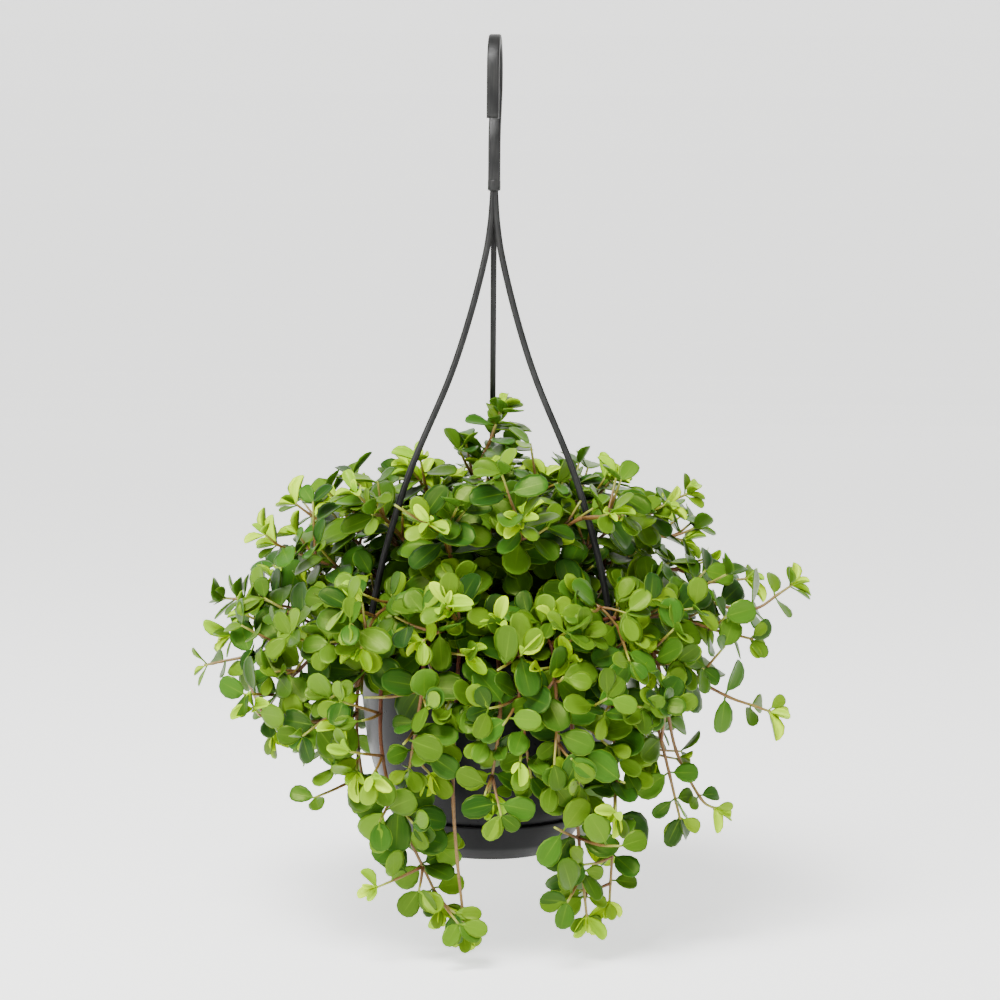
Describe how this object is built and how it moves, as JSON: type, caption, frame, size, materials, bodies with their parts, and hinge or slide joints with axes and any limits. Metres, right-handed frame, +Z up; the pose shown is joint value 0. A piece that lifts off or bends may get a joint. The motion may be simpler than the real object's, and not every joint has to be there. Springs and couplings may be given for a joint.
{
  "type": "potted trailing jade peperomia",
  "caption": "Trailing jade peperomia with whorls of round fleshy green leaves in an anthracite plastic hanging pot with a drip saucer, a three-strand hanger and a flat hook.",
  "frame": {"origin": "The place inside the top of the hook that bears on a rail, on the pot's axis.", "axes": "+Z is up along the pot's axis. The hook's bow lies within 4 degrees of the YZ plane, with its nose towards -Y. -Y is the side that the picture shows, and +X is to the right there."},
  "size_m": [0.3053, 0.2202, 0.4369],
  "materials": {
    "pot_plastic": "satin",
    "saucer_plastic": "satin",
    "hanger_plastic": "satin",
    "potting_soil": "matte",
    "foliage": "satin"
  },
  "bodies": {
    "root": {"pot": "pot_plastic", "saucer": "saucer_plastic", "hanger": "hanger_plastic", "soil": "potting_soil", "stem_01": "foliage", "stem_02": "foliage", "stem_03": "foliage", "stem_04": "foliage", "stem_05": "foliage", "stem_06": "foliage", "stem_07": "foliage", "stem_08": "foliage", "stem_09": "foliage", "stem_10": "foliage", "stem_11": "foliage", "stem_12": "foliage", "stem_13": "foliage", "stem_14": "foliage", "stem_15": "foliage", "stem_16": "foliage", "stem_17": "foliage", "stem_18": "foliage", "stem_19": "foliage", "stem_20": "foliage", "stem_21": "foliage", "stem_22": "foliage", "stem_23": "foliage", "stem_24": "foliage", "stem_25": "foliage", "stem_26": "foliage", "stem_27": "foliage", "stem_28": "foliage", "stem_29": "foliage", "stem_30": "foliage", "stem_31": "foliage", "stem_32": "foliage", "stem_33": "foliage", "stem_34": "foliage", "stem_35": "foliage", "stem_36": "foliage", "stem_37": "foliage", "stem_38": "foliage", "stem_39": "foliage", "stem_40": "foliage", "stem_41": "foliage", "stem_42": "foliage", "stem_43": "foliage", "stem_44": "foliage", "stem_45": "foliage", "stem_46": "foliage", "stem_47": "foliage", "stem_48": "foliage", "stem_49": "foliage", "stem_50": "foliage", "stem_51": "foliage", "stem_52": "foliage"}
  },
  "joints": []
}
